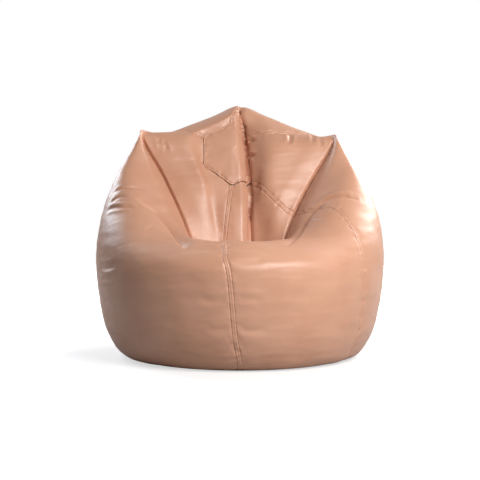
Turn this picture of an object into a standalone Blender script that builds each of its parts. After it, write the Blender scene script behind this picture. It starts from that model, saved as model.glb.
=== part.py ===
"""Bean bag chair: a leatherette cover of five gores, a cap and a base around a zipped liner full of beads.

Metres, +Z up. The origin is on the floor under the middle of the bag, and the seat faces -Y.
The bag is lofted through rings of control points. Each ring has COLUMNS points, one for each 20 degrees of
turn from the front (-Y) towards +X, and the rings run from the base seam, up the outside, over the crest,
down into the seat and up the backrest to the cap.
"""

import math

import bmesh
import bpy
from mathutils import Vector

# Driving dimensions
RADIUS = 0.431  # the bag at its widest
BASE_RADIUS = 0.322  # the flat base, which stands on the floor
COLUMNS = 18
FINE = 2  # facets for each control interval on the cover
BACK_FLAT = 0.4295  # the back, where the zip runs straight up it
CAP_CENTRE = Vector((-0.026, 0.121, 0.612))
CAP_CORNERS = [  # from the centre, across and up the slope. The two on the right are drawn in by the middle crease.
    (0.000, -0.116), (0.056, -0.093), (0.046, 0.056), (0.000, 0.098), (-0.085, 0.049), (-0.085, -0.049),
]
CAP_LEAN = math.radians(62)  # the backrest's slope at the cap, from the horizontal

COVER_WALL = 0.0016
LINER_WALL = 0.0010
LINER_INSET = 0.012  # the liner's outside, inwards from the cover's outside
FILLING_INSET = 0.020
PANEL_GAP = 0.0014  # between two neighbouring cover pieces
FLOOR_GAP = 0.0006  # the gores' lower edge, above the floor

THREAD_RADIUS = 0.0006
STITCH_OFFSET = 0.006  # each line of topstitching, from its seam
STITCH_LIFT = 0.0022  # the thread's centre, above the leatherette

# Zip dimensions, shared by the cover's zip and the liner's
ZIP_LOW = 0.150
ZIP_HIGH = 0.400
ZIP_SLOT_HALF = 0.009
ZIP_SLOT_END = 0.006
TAPE_EDGE = 0.0007
TAPE_WIDTH = 0.0163
TAPE_WALL = 0.0008
COIL_WIDTH = 0.0026
COIL_HEIGHT = 0.0020
PIECE_GAP = 0.0003
COVER_ZIP_Y = BACK_FLAT - 0.0042  # the tape's outer face
LINER_ZIP_Y = BACK_FLAT - 0.0158
SLIDER_LENGTH = 0.011
SLIDER_HALF = 0.0047
SLIDER_PLATE = 0.0011
SLIDER_WEB = 0.0006
STOP_LENGTH = 0.003
BAIL_RADIUS = 0.0045  # the wire's centreline
BAIL_WIRE = 0.0007
BAIL_SINK = 0.0004
PULL_STAND_OFF = 0.0024  # the pull's middle, from the slider's face
PULL_HALF = 0.0033
PULL_LENGTH = 0.030
PULL_WALL = 0.0014
PULL_BAR = 0.0007  # half the crossbar that turns in the bail
PULL_WINDOW = 0.0065

# The right half of each ring, from the front (column 0) to the back (column 9).
SHOULDER = [
    (0.000, -0.405, 0.328), (0.138, -0.377, 0.331), (0.258, -0.296, 0.348), (0.350, -0.190, 0.396),
    (0.404, -0.062, 0.424), (0.408, 0.064, 0.428), (0.362, 0.202, 0.424), (0.274, 0.314, 0.422),
    (0.146, 0.398, 0.420), (0.000, BACK_FLAT, 0.420),
]
CREST = [
    (0.000, -0.322, 0.364), (0.104, -0.300, 0.364), (0.204, -0.226, 0.378), (0.288, -0.130, 0.460),
    (0.344, -0.022, 0.543), (0.334, 0.075, 0.574), (0.310, 0.184, 0.560), (0.246, 0.276, 0.574),
    (0.134, 0.352, 0.582), (0.000, 0.382, 0.578),
]
INNER_LIP = [
    (0.000, -0.226, 0.342), (0.082, -0.212, 0.346), (0.158, -0.150, 0.372), (0.222, -0.074, 0.446),
    (0.276, 0.018, 0.556), (0.297, 0.086, 0.654), (0.270, 0.166, 0.644), (0.210, 0.238, 0.656),
    (0.112, 0.294, 0.678), (0.000, 0.318, 0.690),
]
VALLEY = [
    (0.000, -0.104, 0.248), (0.052, -0.092, 0.258), (0.102, -0.058, 0.312), (0.150, -0.012, 0.423),
    (0.213, 0.046, 0.534), (0.280, 0.098, 0.644), (0.226, 0.166, 0.656), (0.170, 0.214, 0.682),
    (0.088, 0.246, 0.714), (0.000, 0.258, 0.744),
]
BACKREST_EDGE = [
    (0.000, -0.030, 0.300), (0.036, -0.024, 0.312), (0.070, -0.006, 0.352), (0.108, 0.018, 0.464),
    (0.162, 0.066, 0.552), (0.212, 0.108, 0.634), (0.172, 0.164, 0.666), (0.128, 0.196, 0.692),
    (0.062, 0.212, 0.722), (0.000, 0.216, 0.752),
]
# How much further out each of the points between the middles of the front and back lies on the left.
LEFT_CREST_SPREAD = [1.0, 1.0, 1.03, 1.03, 1.03, 1.02, 1.0, 1.0]
LEFT_SEAT_SPREAD = [1.12, 1.12, 1.12, 1.06, 1.05, 1.0, 1.0, 1.0]
CAP_SHARE = 0.972  # the cap's own size, as a share of the opening that the gores leave
CAP_STITCH_SHARE = 0.90
CAP_SURROUND = 0.45  # the ring round the cap, as a share of the way from the cap to the backrest's edge
CAP_SURROUND_LIFT = 0.012
LEFT_EAR_RISE = 0.016  # the left ear stands higher than the right

FIRST_STITCH_ROW = 2  # of a gore's fine rows
ABOVE_ZIP_ROW = 11
# Each gore's name, its first and last column, the seams at them, and whether the zip's slot cuts it.
GORES = [
    ("front_right", 0, 3, "front", "right", False),
    ("right", 3, 6, "right", "back_right", False),
    ("back_right", 6, 9, "back_right", "back", True),
    ("back_left", 9, 12, "back", "back_left", True),
    ("left", 12, 18, "back_left", "front", False),
]

LEATHERETTE = ("leatherette", (0.72, 0.47, 0.34), 0.42, 0.0)
THREAD = ("thread", (0.66, 0.42, 0.30), 0.70, 0.0)
ZIP_TAPE = ("zip_tape", (0.62, 0.42, 0.32), 0.85, 0.0)
ZIP_COIL = ("zip_coil", (0.60, 0.40, 0.30), 0.40, 0.0)
ZIP_METAL = ("zip_metal", (0.72, 0.68, 0.62), 0.28, 1.0)
LINER_CLOTH = ("liner_cloth", (0.86, 0.86, 0.84), 0.85, 0.0)
BEADS = ("beads", (0.93, 0.93, 0.92), 0.60, 0.0)


def clear_scene():
    for obj in list(bpy.data.objects):
        bpy.data.objects.remove(obj)


def new_collection(name, hidden=False):
    collection = bpy.data.collections.new(name)
    bpy.context.scene.collection.children.link(collection)
    collection.hide_render = hidden
    return collection


def material(spec):
    name, colour, roughness, metallic = spec
    found = bpy.data.materials.get(name)
    if found:
        return found
    made = bpy.data.materials.new(name)
    made.use_nodes = True
    shader = made.node_tree.nodes["Principled BSDF"]
    shader.inputs["Base Color"].default_value = (*colour, 1.0)
    shader.inputs["Roughness"].default_value = roughness
    shader.inputs["Metallic"].default_value = metallic
    made.diffuse_color = (*colour, 1.0)
    return made


def add_object(name, data, spec, collection):
    obj = bpy.data.objects.new(name, data)
    collection.objects.link(obj)
    data.materials.append(material(spec))
    return obj


def mesh_object(name, bm, spec, collection, smooth=True):
    mesh = bpy.data.meshes.new(name)
    bm.to_mesh(mesh)
    bm.free()
    if smooth:
        mesh.shade_smooth()
        mesh.set_sharp_from_angle(angle=math.radians(40))
    return add_object(name, mesh, spec, collection)


# The bag's surface


def turned(column):
    """The direction, in plan, of a column."""
    angle = column * math.tau / COLUMNS
    return Vector((math.sin(angle), -math.cos(angle), 0.0))


def round_ring(radius, height, corners=0.0, back_flat=None):
    """A round ring. corners pulls it towards a hexagon, and back_flat sets how far back it reaches."""
    ring = []
    for column in range(COLUMNS):
        from_corner = abs((column + 1.5) % 3 - 1.5) / 1.5
        ring.append(turned(column) * radius * (1 - corners * from_corner) + Vector((0, 0, height)))
    if back_flat is not None:
        ring[COLUMNS // 2].y = back_flat
    return ring


def mirrored_ring(right_half, left_spread=None):
    """A whole ring from its right half. Its left side is spread wider, and its ear stands higher."""
    right = [Vector(point) for point in right_half]
    spread = left_spread or [1.0] * (len(right) - 2)
    left = []
    for point, share in reversed(list(zip(right[1:-1], spread))):
        near_ear = max(0.0, 1.0 - abs(point.y - 0.11) / 0.12) * min(1.0, max(0.0, (point.z - 0.45) / 0.15))
        left.append(Vector((-point.x * share, point.y, point.z + LEFT_EAR_RISE * near_ear)))
    return right + left


def cap_frame():
    """The cap's own directions: across, up its slope, and out of it."""
    across = Vector((1, 0, 0))
    up_slope = Vector((0, math.cos(CAP_LEAN), math.sin(CAP_LEAN)))
    return across, up_slope, across.cross(up_slope)


def cap_ring(scale, lift=0.0):
    """The six-cornered cap. A corner is at every third column, and the first points down the slope."""
    across, up_slope, out = cap_frame()
    centre = CAP_CENTRE + lift * out
    corners = [centre + scale * (aside * across + up * up_slope) for aside, up in CAP_CORNERS]
    ring = []
    for side in range(6):
        start, end = corners[side], corners[(side + 1) % 6]
        ring += [start.lerp(end, step / 3) for step in range(3)]
    return ring


def control_rings():
    cap = cap_ring(1.0)
    backrest_edge = mirrored_ring(BACKREST_EDGE, LEFT_CREST_SPREAD)
    surround_lift = cap_frame()[2] * CAP_SURROUND_LIFT
    return [
        round_ring(BASE_RADIUS + PANEL_GAP, FLOOR_GAP, corners=0.03),
        round_ring(0.354, 0.010, corners=0.01),
        round_ring(0.383, 0.046, back_flat=0.400),
        round_ring(0.411, 0.118, back_flat=BACK_FLAT),
        round_ring(RADIUS, 0.278, back_flat=BACK_FLAT),
        mirrored_ring(SHOULDER),
        mirrored_ring(CREST, LEFT_CREST_SPREAD),
        mirrored_ring(INNER_LIP, LEFT_CREST_SPREAD),
        mirrored_ring(VALLEY, LEFT_SEAT_SPREAD),
        backrest_edge,
        [inner.lerp(outer, CAP_SURROUND) + surround_lift for inner, outer in zip(cap, backrest_edge)],
        cap,
    ]


def through(before, start, end, after, t):
    """A point on the smooth curve from start to end, as the points before and after them bend it."""
    return 0.5 * (
        2 * start
        + (end - before) * t
        + (2 * before - 5 * start + 4 * end - after) * t**2
        + (3 * start - before - 3 * end + after) * t**3
    )


def ring_point(ring, u):
    """The point at column u, which needn't be whole, of a closed ring."""
    column = math.floor(u)
    near = [ring[(column + step) % COLUMNS] for step in (-1, 0, 1, 2)]
    return through(*near, u - column)


def surface_point(rings, u, v):
    """The point at column u of row v of the cover's outside."""
    row = min(math.floor(v), len(rings) - 2)
    start, end = ring_point(rings[row], u), ring_point(rings[row + 1], u)
    before = ring_point(rings[row - 1], u) if row > 0 else 2 * start - end
    after = ring_point(rings[row + 2], u) if row + 2 < len(rings) else 2 * end - start
    point = through(before, start, end, after, v - row)
    point.z = max(point.z, FLOOR_GAP)
    return point


def spaced(start, end, count):
    return [start + (end - start) * step / count for step in range(count + 1)]


def add_grid(bm, rows, closed=False):
    """Quads through rows of points, facing out where the rows run up and the columns run anticlockwise."""
    made = [[bm.verts.new(point) for point in row] for row in rows]
    columns = len(rows[0])
    for low, high in zip(made, made[1:]):
        for k in range(columns if closed else columns - 1):
            bm.faces.new((low[k], low[(k + 1) % columns], high[(k + 1) % columns], high[k]))
    return made


def hole_filled(bm, ring, centre_lift):
    """Closes a ring with a fan of faces, which turns the same way as the ring."""
    middle = sum((vert.co for vert in ring), Vector()) / len(ring) + centre_lift
    hub = bm.verts.new(middle)
    for k, vert in enumerate(ring):
        bm.faces.new((vert, ring[(k + 1) % len(ring)], hub))


def add_solidify(obj, wall):
    solidify = obj.modifiers.new("Wall", "SOLIDIFY")
    solidify.thickness = wall
    solidify.offset = -1.0
    solidify.use_even_offset = True


def add_boolean(obj, other, operation):
    boolean = obj.modifiers.new(operation.title(), "BOOLEAN")
    boolean.operation = operation
    boolean.object = other
    boolean.solver = "EXACT"


# The cover


def seam_margin(rings, column, v):
    """How many columns lie across half the gap between two pieces, at a place on their seam."""
    width = (surface_point(rings, column + 0.5, v) - surface_point(rings, column - 0.5, v)).length
    return PANEL_GAP / 2 / width


def gore(name, rings, first, last, collection):
    """One side panel of the cover, between the seams at columns first and last. Returns it and its rows."""
    top = len(rings) - 1
    rows = []
    for v in spaced(0, top - 0.012, top * FINE):
        start = first + seam_margin(rings, first, v)
        end = last - seam_margin(rings, last, v)
        rows.append([surface_point(rings, u, v) for u in spaced(start, end, (last - first) * FINE)])
    bm = bmesh.new()
    add_grid(bm, rows)
    obj = mesh_object(name, bm, LEATHERETTE, collection)
    add_solidify(obj, COVER_WALL)
    return obj, rows


def top_cap(collection):
    bm = bmesh.new()
    bulge = cap_frame()[2] * 0.006
    rows = add_grid(bm, [cap_ring(CAP_SHARE), cap_ring(CAP_SHARE / 2, 0.005)], closed=True)
    hole_filled(bm, rows[-1], bulge * 0.4)
    obj = mesh_object("top_cap", bm, LEATHERETTE, collection)
    add_solidify(obj, COVER_WALL)
    return obj


def base_panel(collection):
    """The flat base, which is the face that the bag stands on."""
    bm = bmesh.new()
    bmesh.ops.create_circle(bm, cap_ends=True, segments=COLUMNS, radius=BASE_RADIUS)
    outline = round_ring(BASE_RADIUS, 0.0, corners=0.03)
    for vert in bm.verts:
        vert.co = min(outline, key=lambda point: (point - vert.co).length)
    bmesh.ops.recalc_face_normals(bm, faces=bm.faces)
    extruded = bmesh.ops.extrude_face_region(bm, geom=list(bm.faces))
    lifted = [item for item in extruded["geom"] if isinstance(item, bmesh.types.BMVert)]
    bmesh.ops.translate(bm, verts=lifted, vec=(0, 0, COVER_WALL))
    bmesh.ops.recalc_face_normals(bm, faces=bm.faces)
    return mesh_object("base_panel", bm, LEATHERETTE, collection, smooth=False)


def thread(name, points, collection, closed=False):
    """A line of stitching, as one thin cord on the leatherette."""
    curve = bpy.data.curves.new(name, "CURVE")
    curve.dimensions = "3D"
    curve.bevel_depth = THREAD_RADIUS
    curve.bevel_resolution = 0
    curve.use_fill_caps = not closed
    spline = curve.splines.new("POLY")
    spline.points.add(len(points) - 1)
    spline.use_cyclic_u = closed
    for target, point in zip(spline.points, points):
        target.co = (*point, 1.0)
    return add_object(name, curve, THREAD, collection)


def edge_thread(name, rows, at_end, first_row, collection):
    """The topstitching along one edge of a gore: the edge where its rows start, or where they end."""
    points = []
    chosen = rows[first_row:-1]
    for k, row in enumerate(chosen):
        edge, inner = (row[-1], row[-2]) if at_end else (row[0], row[1])
        inward = inner - edge
        above = rows[first_row + k + 1][-1 if at_end else 0]
        below = rows[first_row + k - 1][-1 if at_end else 0]
        out = (above - below).cross(inward) if at_end else inward.cross(above - below)
        points.append(edge + inward.normalized() * STITCH_OFFSET + out.normalized() * STITCH_LIFT)
    thread(name, points, collection)


# The zips


def box(name, low, high, spec, collection):
    bm = bmesh.new()
    bmesh.ops.create_cube(bm, size=1.0)
    low, high = Vector(low), Vector(high)
    bmesh.ops.scale(bm, verts=bm.verts, vec=high - low)
    bmesh.ops.translate(bm, verts=bm.verts, vec=(low + high) / 2)
    return mesh_object(name, bm, spec, collection, smooth=False)


def cutter(name, low, high, collection):
    made = box(name, low, high, LEATHERETTE, collection)
    made.hide_render = True
    made.display_type = "WIRE"
    return made


def outline_plate(name, splines, wall, spec, collection):
    """A flat plate in the XY plane from closed outlines. An outline inside another is a hole."""
    curve = bpy.data.curves.new(name, "CURVE")
    curve.dimensions = "2D"
    curve.fill_mode = "BOTH"
    curve.extrude = wall / 2
    for outline in splines:
        spline = curve.splines.new("POLY")
        spline.points.add(len(outline) - 1)
        spline.use_cyclic_u = True
        for target, (x, y) in zip(spline.points, outline):
            target.co = (x, y, 0.0, 1.0)
    return add_object(name, curve, spec, collection)


def as_mesh(obj, collection):
    """Replaces a curve with the closed mesh that it makes."""
    bpy.context.view_layer.update()
    graph = bpy.context.evaluated_depsgraph_get()
    mesh = bpy.data.meshes.new_from_object(obj.evaluated_get(graph))
    bm = bmesh.new()
    bm.from_mesh(mesh)
    bmesh.ops.remove_doubles(bm, verts=bm.verts, dist=1e-7)
    bmesh.ops.recalc_face_normals(bm, faces=bm.faces)
    bm.to_mesh(mesh)
    bm.free()
    name, place = obj.name, obj.matrix_world.copy()
    bpy.data.objects.remove(obj)
    made = bpy.data.objects.new(name, mesh)
    made.matrix_world = place
    collection.objects.link(made)
    return made


def slider_top(tape_face):
    return tape_face + COIL_HEIGHT + 2 * PIECE_GAP + SLIDER_PLATE


def slider_section(tape_face):
    """The slider's outline across its travel: two plates joined by a web between the coils."""
    top = tape_face + PIECE_GAP + COIL_HEIGHT + PIECE_GAP
    flange = tape_face + PIECE_GAP
    under = tape_face - TAPE_WALL - PIECE_GAP
    coil_out = TAPE_EDGE + COIL_WIDTH + PIECE_GAP
    web = SLIDER_WEB / 2
    right = [
        (web, under), (SLIDER_HALF, under), (SLIDER_HALF, under - SLIDER_PLATE),
    ]
    right_top = [
        (SLIDER_HALF, top + SLIDER_PLATE), (SLIDER_HALF, flange), (coil_out, flange), (coil_out, top), (web, top),
    ]
    half = right_top + right
    return half + [(-x, y) for x, y in reversed(half)]


def bail(name, centre, collection):
    """The wire arch on the slider that carries the pull."""
    steps = 10
    points = [
        Vector((centre.x, centre.y + BAIL_RADIUS * math.sin(turn), centre.z - BAIL_RADIUS * math.cos(turn)))
        for turn in spaced(0, math.pi, steps)
    ]
    curve = bpy.data.curves.new(name, "CURVE")
    curve.dimensions = "3D"
    curve.bevel_depth = BAIL_WIRE
    curve.bevel_resolution = 1
    curve.use_fill_caps = True
    spline = curve.splines.new("POLY")
    spline.points.add(len(points) - 1)
    for target, point in zip(spline.points, points):
        target.co = (*point, 1.0)
    return add_object(name, curve, ZIP_METAL, collection)


def zip_slider(name, tape_face, centre_z, collection, cutters, with_bail):
    plate = outline_plate(name, [slider_section(tape_face)], SLIDER_LENGTH, ZIP_METAL, collection)
    plate.location.z = centre_z
    slider = as_mesh(plate, collection)
    if with_bail:
        arch = bail(name + "_bail", Vector((0, slider_top(tape_face) - BAIL_SINK, centre_z)), cutters)
        arch = as_mesh(arch, cutters)
        arch.hide_render = True
        arch.display_type = "WIRE"
        add_boolean(slider, arch, "UNION")
    return slider


def zip_pull(tape_face, centre_z, collection):
    """The pull: a plate with a window, whose top bar turns in the slider's bail."""
    middle = slider_top(tape_face) + PULL_STAND_OFF
    tip = PULL_HALF
    round_end = [
        (tip * math.cos(turn), -PULL_LENGTH + tip - tip * math.sin(turn)) for turn in spaced(0, math.pi, 8)
    ]
    outline = [(PULL_HALF, PULL_BAR), *round_end, (-PULL_HALF, PULL_BAR)]
    side = BAIL_WIRE + 0.0006
    window = [(side, -PULL_BAR), (side, -PULL_WINDOW), (-side, -PULL_WINDOW), (-side, -PULL_BAR)]
    eye = 0.0014
    eye_hole = [
        (eye * math.cos(turn), -PULL_LENGTH + tip + eye * math.sin(turn))
        for turn in (k * math.tau / 8 for k in range(8))
    ]
    pull = outline_plate("zip_pull", [outline, window, eye_hole], PULL_WALL, ZIP_METAL, collection)
    pull.rotation_euler.x = math.pi / 2
    pull.location = (0, middle, centre_z)
    return pull


def make_zip(prefix, tape_face, collection, cutters, with_pull):
    """One vertical zip: two tapes, two coils, two stops, and a slider at the bottom, where it is closed."""
    tape_in, tape_out = tape_face - TAPE_WALL, tape_face
    coil_in = tape_face + PIECE_GAP
    coil_out = coil_in + COIL_HEIGHT
    for side, word in ((-1, "left"), (1, "right")):
        xs = sorted((side * TAPE_EDGE, side * (TAPE_EDGE + TAPE_WIDTH)))
        low, high = ZIP_LOW - ZIP_SLOT_END - 0.004, ZIP_HIGH + ZIP_SLOT_END + 0.004
        box(f"{prefix}_tape_{word}", (xs[0], tape_in, low), (xs[1], tape_out, high), ZIP_TAPE, collection)
        xs = sorted((side * TAPE_EDGE, side * (TAPE_EDGE + COIL_WIDTH)))
        low, high = (xs[0], coil_in, ZIP_LOW), (xs[1], coil_out, ZIP_HIGH)
        box(f"{prefix}_coil_{word}", low, high, ZIP_COIL, collection)
    stop_half = TAPE_EDGE + COIL_WIDTH
    stops = (("bottom", ZIP_LOW - PIECE_GAP - STOP_LENGTH), ("top", ZIP_HIGH + PIECE_GAP))
    for word, low in stops:
        box(
            f"{prefix}_{word}_stop",
            (-stop_half, coil_in, low),
            (stop_half, coil_out, low + STOP_LENGTH),
            ZIP_METAL,
            collection,
        )
    centre_z = ZIP_LOW + SLIDER_LENGTH / 2 + 0.001
    zip_slider(f"{prefix}_slider", tape_face, centre_z, collection, cutters, with_pull)
    if with_pull:
        zip_pull(tape_face, centre_z, collection)


# The inside


def inner_form(name, rings, inset, spec, collection):
    """The whole bag's shape as one closed surface, set in from the cover's outside."""
    bm = bmesh.new()
    heights = [*range(6), *spaced(6, 9, 6), 10, 11]
    rows = [[surface_point(rings, u, v) for u in spaced(0, COLUMNS, COLUMNS * FINE)[:-1]] for v in heights]
    made = add_grid(bm, rows, closed=True)
    hole_filled(bm, made[-1], cap_frame()[2] * 0.004)
    hole_filled(bm, made[0][::-1], Vector())
    bm.normal_update()
    moved = {vert: vert.co - vert.normal * inset for vert in bm.verts}
    for vert, place in moved.items():
        vert.co = place
        vert.co.z = max(vert.co.z, inset)
    return mesh_object(name, bm, spec, collection)


def main():
    clear_scene()
    chair = new_collection("bean_bag_chair")
    cutters = new_collection("cutters", hidden=True)
    rings = control_rings()

    slot_low = ZIP_LOW - ZIP_SLOT_END - STOP_LENGTH
    slot_high = ZIP_HIGH + ZIP_SLOT_END + STOP_LENGTH
    slot_in, slot_out = BACK_FLAT - 0.045, BACK_FLAT + 0.03
    slot = cutter("slot", (-ZIP_SLOT_HALF, slot_in, slot_low), (ZIP_SLOT_HALF, slot_out, slot_high), cutters)

    for name, first, last, start_seam, end_seam, zipped in GORES:
        panel, rows = gore(f"{name}_gore", rings, first, last, chair)
        start_row = ABOVE_ZIP_ROW if start_seam == "back" else FIRST_STITCH_ROW
        end_row = ABOVE_ZIP_ROW if end_seam == "back" else FIRST_STITCH_ROW
        edge_thread(f"{start_seam}_seam_stitching_right", rows, False, start_row, chair)
        edge_thread(f"{end_seam}_seam_stitching_left", rows, True, end_row, chair)
        if zipped:
            add_boolean(panel, slot, "DIFFERENCE")
    top_cap(chair)
    base_panel(chair)
    thread("cap_seam_stitching", cap_ring(CAP_STITCH_SHARE, STITCH_LIFT), chair, closed=True)

    make_zip("zip", COVER_ZIP_Y, chair, cutters, with_pull=True)
    make_zip("liner_zip", LINER_ZIP_Y, chair, cutters, with_pull=False)

    liner = inner_form("liner_bag", rings, LINER_INSET, LINER_CLOTH, chair)
    add_solidify(liner, LINER_WALL)
    add_boolean(liner, slot, "DIFFERENCE")
    inner_form("bead_filling", rings, FILLING_INSET, BEADS, chair)


if __name__ == "__main__":
    main()
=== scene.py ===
"""The finished look of a leatherette bean bag chair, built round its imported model.

The cover is sampled from one lofted surface: u runs round the bag, COLUMNS to a turn, from the middle of the
front towards +X, and v runs from the base seam (0) up the outside, over the crest, down into the seat and up the
backrest to the cap's edge (CAP_EDGE) and the middle of the cap (CAP_MIDDLE). All lengths are in metres.
"""

import logging
import math
from dataclasses import dataclass, field
from enum import Enum

import bmesh
import bpy
import numpy as np
from mathutils import Matrix, Vector
from mathutils.bvhtree import BVHTree


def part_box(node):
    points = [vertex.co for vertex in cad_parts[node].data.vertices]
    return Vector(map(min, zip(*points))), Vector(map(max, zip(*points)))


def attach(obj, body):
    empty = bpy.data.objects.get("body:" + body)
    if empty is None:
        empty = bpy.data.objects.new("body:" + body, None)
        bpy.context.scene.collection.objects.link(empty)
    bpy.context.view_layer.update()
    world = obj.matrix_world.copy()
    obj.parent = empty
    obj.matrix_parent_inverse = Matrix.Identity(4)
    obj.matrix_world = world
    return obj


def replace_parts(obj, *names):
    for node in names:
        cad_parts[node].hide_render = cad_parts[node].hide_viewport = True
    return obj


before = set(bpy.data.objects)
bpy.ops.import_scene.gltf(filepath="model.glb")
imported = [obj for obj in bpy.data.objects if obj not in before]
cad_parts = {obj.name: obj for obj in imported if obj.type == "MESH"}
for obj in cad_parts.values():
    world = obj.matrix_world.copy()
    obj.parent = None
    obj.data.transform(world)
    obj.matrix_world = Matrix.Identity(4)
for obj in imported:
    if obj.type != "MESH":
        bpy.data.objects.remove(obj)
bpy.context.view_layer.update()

LOG = logging.getLogger("bean_bag")

COLUMNS = 18
VALLEY_ROW = 8.0
CAP_EDGE = 11.0
CAP_MIDDLE = 12.0
FLOOR_GAP = 0.0006
VIEW_DISTANCE = 4.5
VIEW_ELEVATION = math.radians(4)
VIEW_TARGET = Vector((0.0, 0.0, 0.345))
RIPPLE_SHAPE = np.array([1.0, 1.0, 2.4])
EYE = VIEW_TARGET + VIEW_DISTANCE * Vector((0.0, -math.cos(VIEW_ELEVATION), math.sin(VIEW_ELEVATION)))


# The bag's shape


def cubic(a: np.ndarray, b: np.ndarray, c: np.ndarray, d: np.ndarray, t: np.ndarray) -> np.ndarray:
    """Reads a smooth curve between b and c.

    Args:
        a: The point before b.
        b: Where the stretch starts.
        c: Where the stretch ends.
        d: The point after c.
        t: How far along the stretch, from 0 to 1.

    Returns:
        The points on the curve.
    """
    return 0.5 * (2 * b + (c - a) * t + (2 * a - 5 * b + 4 * c - d) * t**2 + (3 * b - a - 3 * c + d) * t**3)


def smooth_step(low: float, high: float, x: np.ndarray) -> np.ndarray:
    """Rises smoothly from 0 at low to 1 at high."""
    t = np.clip((x - low) / (high - low), 0.0, 1.0)
    return t * t * (3 - 2 * t)


def unit(vectors: np.ndarray) -> np.ndarray:
    """Scales each vector to a length of one."""
    return vectors / np.maximum(np.linalg.norm(vectors, axis=-1, keepdims=True), 1e-12)


def wave_noise(points: np.ndarray, size: float, seed: int) -> np.ndarray:
    """A smooth random height, the same on each run.

    Args:
        points: Places, as an array whose last axis is x, y, z.
        size: The distance between two bumps.
        seed: Picks the pattern.

    Returns:
        Heights of about -1 to 1, one for each place.
    """
    rng = np.random.default_rng(seed)
    total = np.zeros(points.shape[:-1])
    waves = 14
    for _ in range(waves):
        direction = unit(rng.normal(size=3))
        pace = math.tau / (size * rng.uniform(0.7, 1.6))
        total += np.sin(points @ direction * pace + rng.uniform(0, math.tau))
    return total / math.sqrt(waves)


class Loft:
    """A smooth surface through rings of points."""

    def __init__(self, rings: np.ndarray, columns: float = 1.0, rows: float = 1.0) -> None:
        """Keeps the rings.

        Args:
            rings: Points, as an array of row, column and x, y, z. Each row is a closed ring.
            columns: How many of its columns one unit of u spans.
            rows: How many of its rows one unit of v spans.
        """
        self.rings, self.columns, self.rows = rings, columns, rows
        self.tree: BVHTree | None = None

    def at(self, u: np.ndarray, v: np.ndarray) -> np.ndarray:
        """Reads the surface.

        Args:
            u: Places round the bag.
            v: Places up the bag, in an array that matches u's.

        Returns:
            Points, with one more axis than u and v.
        """
        u, v = np.broadcast_arrays(np.asarray(u, float) * self.columns, np.asarray(v, float) * self.rows)
        last, count = self.rings.shape[0] - 1, self.rings.shape[1]
        row = np.clip(np.floor(v).astype(int), 0, last - 1)
        column = np.floor(u).astype(int)
        t_row, t_column = (v - row)[..., None], (u - column)[..., None]

        def ring(which: np.ndarray) -> np.ndarray:
            """Reads one ring for each place."""
            near = [self.rings[which, (column + step) % count] for step in (-1, 0, 1, 2)]
            return cubic(*near, t_column)

        start, end = ring(row), ring(row + 1)
        first, final = (row == 0)[..., None], (row == last - 1)[..., None]
        before = np.where(first, 2 * start - end, ring(np.maximum(row - 1, 0)))
        after = np.where(final, 2 * end - start, ring(np.minimum(row + 2, last)))
        return cubic(before, start, end, after, t_row)

    def as_tree(self) -> BVHTree:
        """Makes a search tree of the surface, once.

        Returns:
            The tree, whose faces point out.
        """
        if self.tree is None:
            rows, count = self.rings.shape[:2]
            corner = np.arange((rows - 1) * count).reshape(rows - 1, count)
            right = np.roll(corner, -1, axis=1)
            faces = np.stack([corner, right, right + count, corner + count], axis=-1).reshape(-1, 4)
            self.tree = BVHTree.FromPolygons(self.rings.reshape(-1, 3).tolist(), faces.tolist())
        return self.tree

    def seen_from_front(self, path: np.ndarray, beyond: float) -> np.ndarray:
        """Finds what a front view shows along a line.

        Args:
            path: Places on the plane y = 0, as rows of x and z, through which the eye looks.
            beyond: The y from which the look starts.

        Returns:
            The points on the surface.
        """
        found = []
        for x, z in path:
            ray = (Vector((x, 0.0, z)) - EYE).normalized()
            start = EYE + ray * ((beyond - EYE.y) / ray.y)
            hit = self.as_tree().ray_cast(start, ray)[0]
            if hit is not None:
                found.append(tuple(hit))
        line = np.array(found)
        for _ in range(8):
            line[1:-1] = (line[:-2] + 2 * line[1:-1] + line[2:]) / 4
        return line

    def normals(self, u: np.ndarray, v: np.ndarray, step: float = 0.04) -> np.ndarray:
        """Reads the surface's outward directions at places on it.

        Args:
            u: Places round the bag.
            v: Places up the bag.
            step: How far apart the surface is read, in u and in v.

        Returns:
            Directions of length one, with one more axis than u and v.
        """
        low, high = np.maximum(np.asarray(v) - step, 0.0), np.minimum(np.asarray(v) + step, CAP_MIDDLE - 0.01)
        along = self.at(u, high) - self.at(u, low)
        across = self.at(np.asarray(u) + step, v) - self.at(np.asarray(u) - step, v)
        return unit(np.cross(across, along))


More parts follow.
